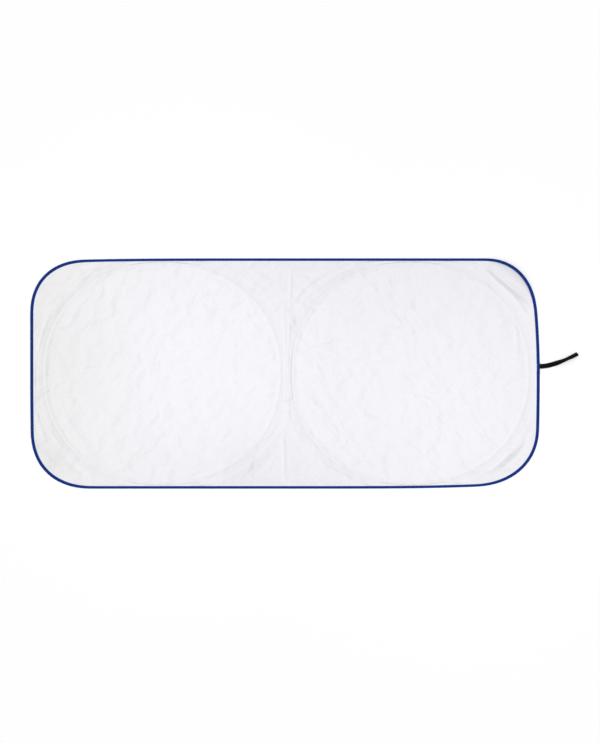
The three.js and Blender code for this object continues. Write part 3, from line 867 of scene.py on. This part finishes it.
def buildCasing(side, label):
    angles, table = seamRadii(side)
    wire, seamOut, tapeOut = table[:, 0], table[:, 3], table[:, 4]
    inner, outer = casingHeights(table)
    seamIn = panel["seamInside"]
    edge = seamIn + casing["seamAllowance"]
    flat = casing["liftMm"]
    low = [
        (wire - edge, flat),
        (wire - edge + 0.3, flat),
        (wire - seamIn, inner),
        (wire - 2, flat),           # the tape passes flat under the strip
        (wire + 1.1, flat),
        (wire + seamOut, outer),
        (wire + tapeOut, outer),
    ]
    high = [(radii, height + casing["thicknessMm"]) for radii, height in reversed(low)]
    ring = [hoopPoints(side, angles, radii, height) for radii, height in low + high]
    sections = np.stack(ring, 1)
    widths = walked(sections[len(angles) // 2])
    piece = loftSections("casing_tape_" + label, sections, True, walked(ring[0][:, :2]), widths)
    smoothByAngle(piece, 40)
    piece.data.materials.append(wovenTape("casingTape" + label.title(), casing["light"], casing["dark"],
                                          casing["ribMm"], 0.8))
    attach(piece, "root")
    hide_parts("hoop_casing_" + label)
    return piece


casingPieces = [buildCasing(side, label) for label, side in (("left", -1), ("right", 1))]
print("casings ready")

# Lockstitch: one stitch modelled once, then set along every seam

stitch = {
    "lengthMm": 2.7,
    "pitchMm": 3.3,
    "threadMm": 0.34,       # a little stouter than real thread, so that the stitches show
    "twistMm": 1.1,
    "bindingThread": "#3A57B4",
    "seamThread": "#E2E2E6",
}


def oneStitch():
    # A short bar of thread whose ends bend down into the cloth
    unselectAll()
    bpy.ops.mesh.primitive_cylinder_add(vertices=5, radius=stitch["threadMm"] / 2,
                                        depth=stitch["lengthMm"] * 0.6, end_fill_type="NGON",
                                        rotation=(0, math.pi / 2, 0))
    bar = bpy.context.object
    bpy.ops.object.transform_apply(location=True, rotation=True, scale=True)
    bpy.ops.object.mode_set(mode="EDIT")
    bpy.ops.mesh.select_mode(type="FACE")
    for way in (-1, 1):
        bpy.ops.mesh.select_all(action="DESELECT")
        bpy.ops.object.mode_set(mode="OBJECT")
        for face in bar.data.polygons:
            face.select = face.normal.x * way > 0.9
        bpy.ops.object.mode_set(mode="EDIT")
        bpy.ops.mesh.extrude_region_move(TRANSFORM_OT_translate={
            "value": (way * stitch["lengthMm"] * 0.2, 0, -stitch["threadMm"] * 0.6)})
        bpy.ops.transform.resize(value=(0.7, 0.7, 0.7))
    bpy.ops.object.mode_set(mode="OBJECT")
    corners = np.array([v.co[:] for v in bar.data.vertices])
    faces = [tuple(face.vertices) for face in bar.data.polygons]
    bpy.data.objects.remove(bar)
    return corners, faces


def sewRow(rows, points, over):
    # Sets a stitch at every pitch along a line of points; over is 1 on the front and -1 on the back
    corners = rows["stitch"][0]
    way = walked(points, closed=False)
    count = int(way[-1] / stitch["pitchMm"])
    at = (np.arange(count) + 0.5) * way[-1] / count
    tail, place, tip = [np.stack([np.interp(at + step, way, points[:, axis]) for axis in range(3)], -1)
                        for step in (-1.2, 0, 1.2)]
    ahead = tip - tail
    ahead /= np.linalg.norm(ahead, axis=1)[:, None]
    aside = np.cross((0, 0, 1), ahead)
    aside /= np.linalg.norm(aside, axis=1)[:, None]
    up = np.cross(ahead, aside) * over
    aside = aside * over
    for i in range(count):
        rows["corners"].append(place[i] + corners @ np.stack((ahead[i], aside[i], up[i])))


def finishRows(rows, name, material):
    corners = np.concatenate(rows["corners"])
    size = len(rows["stitch"][0])
    faces = [tuple(index + k * size for index in face)
             for k in range(len(rows["corners"])) for face in rows["stitch"][1]]
    piece = meshObject(name, corners * mm, faces)
    piece.data.materials.append(material)
    smoothByAngle(piece, 60)
    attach(piece, "root")
    return piece


def closedLine(points):
    return np.vstack((points, points[:1]))


def sewBinding(template):
    points, inward, raised = rimLine(binding["stepMm"])
    line = points + inward * (binding["stitchInset"] + tapeExtra(points[:, :1]))
    rows = {"stitch": template, "corners": []}
    top = np.column_stack((line, raised + binding["stitchTop"] + stitch["threadMm"] * 0.4))
    back = np.column_stack((line, raised + binding["stitchUnder"]))
    sewRow(rows, closedLine(top), 1)
    sewRow(rows, closedLine(back), -1)
    return finishRows(rows, "binding_stitching", stitchThread("bindingThread", stitch["bindingThread"]))


def sewCasing(template, side, label):
    angles, table = seamRadii(side)
    rows = {"stitch": template, "corners": []}
    proud = stitch["threadMm"] * 0.35
    cloth = panel["thicknessMm"] + proud
    innerBack, outerBack = casingHeights(table)
    inner = table[:, 0] - panel["seamInside"]
    sewRow(rows, closedLine(hoopPoints(side, angles, inner, panel["seamLift"] + cloth)), 1)
    sewRow(rows, closedLine(hoopPoints(side, angles, inner, innerBack - proud)), -1)
    outer = table[:, 0] + table[:, 3]
    roomy = table[:, 3] > casing["outerRowFrom"]
    starts = [i for i in range(len(roomy)) if roomy[i] and not roomy[i - 1]]
    for start in starts:
        run = []
        index = start
        while roomy[index % len(roomy)]:
            run.append(index % len(roomy))
            index += 1
        for height, over in ((table[:, 5] + cloth, 1), (outerBack - proud, -1)):
            sewRow(rows, hoopPoints(side, angles[run], outer[run], height[run]), over)
    return finishRows(rows, "casing_stitching_" + label,
                      stitchThread("casingThread" + label.title(), stitch["seamThread"]))


template = oneStitch()
stitching = [sewBinding(template)]
stitching += [sewCasing(template, side, label) for label, side in (("left", -1), ("right", 1))]
print("stitching ready")

# Elastic: a ribbed ribbon doubled into a loop, flat under the edge and turning on edge towards its tip


def bezier(share, start, middle, end):
    return ((1 - share) ** 2 * start[0] + 2 * share * (1 - share) * middle[0] + share ** 2 * end[0],
            (1 - share) ** 2 * start[1] + 2 * share * (1 - share) * middle[1] + share ** 2 * end[1])


def loopStations():
    base, reach, rise = outline["rightReach"], elastic["reachMm"], elastic["riseMm"]
    start = (base + panel["bindingLift"], elastic["heightMm"])
    middle = (base + 0.32 * reach, elastic["heightMm"] - 0.05 * rise)
    end = (base + 0.95 * reach, elastic["heightMm"] + rise)
    steps = 44
    centres = [((base - elastic["tuckMm"] + k * 1.5, elastic["heightMm"]), 0) for k in range(5)]
    centres += [(bezier(k / steps, start, middle, end), k / steps) for k in range(steps + 1)]
    flat = np.array([c[0] for c in centres])
    ahead = np.gradient(flat, axis=0)
    ahead /= np.linalg.norm(ahead, axis=1)[:, None]
    stations = []
    for (place, share), (dx, dy) in zip(centres, ahead):
        turn = -math.radians(elastic["twist"]) * float(smoothStep(share, 0.38, 0.78))
        level = np.array((-dy, dx, 0))
        up = np.array((0, 0, 1))
        across = level * math.cos(turn) + up * math.sin(turn)
        apart = -level * math.sin(turn) + up * math.cos(turn)
        gap = elastic["gapMm"] + (elastic["bellyMm"] - elastic["gapMm"]) * float(smoothStep(share, 0.72, 1))
        offset = (gap + elastic["thicknessMm"]) / 2
        height = elastic["widthMm"] / 2 * abs(across[2]) + (offset + elastic["thicknessMm"] / 2) * apart[2]
        centre = np.array((*place, height))
        stations.append((centre, np.array((dx, dy, 0)), across, apart, offset))
    return stations


def ribbonSection(station, angle):
    # Woven ribbon: rounded selvedges and six raised ribs on each face
    centre, along, across, apart, offset = station
    outward = apart * math.cos(angle) + along * math.sin(angle)
    half = elastic["widthMm"] / 2 * (1 - elastic["drawn"] * math.sin(angle))
    thick = elastic["thicknessMm"] / 2
    ribs = 12
    outlinePairs = []
    for face in (-1, 1):
        for k in range(ribs + 1):
            share = -1 + 2 * k / ribs
            swell = 0.07 if k % 2 else 0.0
            edge = 0.25 if k in (0, ribs) else 0.0
            outlinePairs.append((-face * share, face * (1 - edge - swell)))
    return [centre + across * side * half + outward * (offset + layer * thick)
            for side, layer in outlinePairs]


def buildElastic():
    stations = loopStations()
    sections = [ribbonSection(station, math.pi) for station in stations]
    turns = 12
    sections += [ribbonSection(stations[-1], math.pi * (1 - k / turns)) for k in range(1, turns)]
    sections += [ribbonSection(station, 0) for station in reversed(stations)]
    sections = np.array(sections)
    along = walked(sections.mean(1), closed=False)
    across = walked(sections[10])
    piece = loftSections("elastic_ribbon", sections, False, along, across)
    smoothByAngle(piece, 50)
    piece.data.materials.append(wovenTape("ribbedElasticBlack", elastic["light"], elastic["dark"],
                                          elastic["ribMm"], 0.75))
    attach(piece, "root")
    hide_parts("elastic_loop")
    return piece


elasticPiece = buildElastic()
print("elastic ready")

# Hoops and ferrules keep their CAD shape

for label in ("left", "right"):
    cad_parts["hoop_" + label].data.materials.clear()
    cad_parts["hoop_" + label].data.materials.append(springSteel())
    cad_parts["hoop_ferrule_" + label].data.materials.clear()
    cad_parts["hoop_ferrule_" + label].data.materials.append(platedSteel())

# Camera, light and floor

view = {
    "frame": (600, 743),            # the photograph, in pixels
    "pixelMm": 2.55,
    "aimPixel": (287.0, 373.5),     # where the origin shows in the photograph
    "lens": 100,
}


def setCamera():
    data = bpy.data.cameras.new("camera")
    data.lens = view["lens"]
    data.sensor_width = 36
    camera = bpy.data.objects.new("camera", data)
    bpy.context.scene.collection.objects.link(camera)
    wide, tall = view["frame"]
    pixel = view["pixelMm"] * mm
    camera.location = (
        (wide / 2 - view["aimPixel"][0]) * pixel,
        (view["aimPixel"][1] - tall / 2) * pixel,
        tall * pixel * data.lens / data.sensor_width,
    )
    data.clip_end = 60
    bpy.context.scene.camera = camera


light = {
    "world": 0.593,
    "suns": {
        "ceilingLight": {"strength": 0.92, "from": (0.0, 0.0, 1.0), "softness": 55},
        "windowLight": {"strength": 0.62, "from": (1.0, -0.1, 0.85), "softness": 24},
    },
    "pools": {              # two soft spots of the ceiling light, one over each hoop
        "leftPool": {"watts": 0.165, "place": (-0.24, 0.03, 2.6), "size": 0.4, "spread": 23.7},
        "rightPool": {"watts": 0.134, "place": (0.44, -0.11, 2.6), "size": 0.4, "spread": 23.1},
    },
}


def addLamp(name, kind, place, aim, **settings):
    data = bpy.data.lights.new(name, kind)
    for key, value in settings.items():
        setattr(data, key, value)
    lamp = bpy.data.objects.new(name, data)
    lamp.location = place
    direction = Vector(aim) - Vector(place)
    lamp.rotation_euler = direction.to_track_quat("-Z", "Y").to_euler()
    bpy.context.scene.collection.objects.link(lamp)


def setLight():
    world = bpy.data.worlds.new("studio")
    world.use_nodes = True
    tree = world.node_tree
    sky = tree.nodes["Background"]
    sky.inputs["Strength"].default_value = light["world"]
    sky.inputs["Color"].default_value = (1, 1, 1, 1)
    white = addNode(tree, "ShaderNodeBackground", Strength=1.0, Color=(1, 1, 1, 1))
    path = addNode(tree, "ShaderNodeLightPath")
    rays = {0: path.outputs["Is Camera Ray"], 1: path.outputs["Is Glossy Ray"]}
    seen = addNode(tree, "ShaderNodeMath", rays, operation="MAXIMUM")
    both = addNode(tree, "ShaderNodeMixShader", {0: seen.outputs[0], 1: sky.outputs[0], 2: white.outputs[0]})
    tree.links.new(both.outputs[0], tree.nodes["World Output"].inputs["Surface"])
    bpy.context.scene.world = world
    for name, sun in light["suns"].items():
        addLamp(name, "SUN", sun["from"], (0, 0, 0), energy=sun["strength"],
                angle=math.radians(sun["softness"]))
    for name, pool in light["pools"].items():
        addLamp(name, "AREA", pool["place"], (*pool["place"][:2], 0), energy=pool["watts"],
                size=pool["size"], spread=math.radians(pool["spread"]))


def setFloor():
    unselectAll()
    bpy.ops.mesh.primitive_plane_add(size=14, location=(0, 0, 0))
    floor = bpy.context.object
    floor.name = "floor"
    # Seamless white paper: matt, and it keeps the shade's soft shadow
    material, _, surface = newMaterial("whiteSweep", Roughness=0.9, Specular_IOR_Level=0.0)
    surface.inputs["Base Color"].default_value = (0.98, 0.98, 0.98, 1)
    floor.data.materials.append(material)


setCamera()
setLight()
setFloor()
bpy.context.scene.view_settings.view_transform = "Standard"
print("camera, light and floor ready")
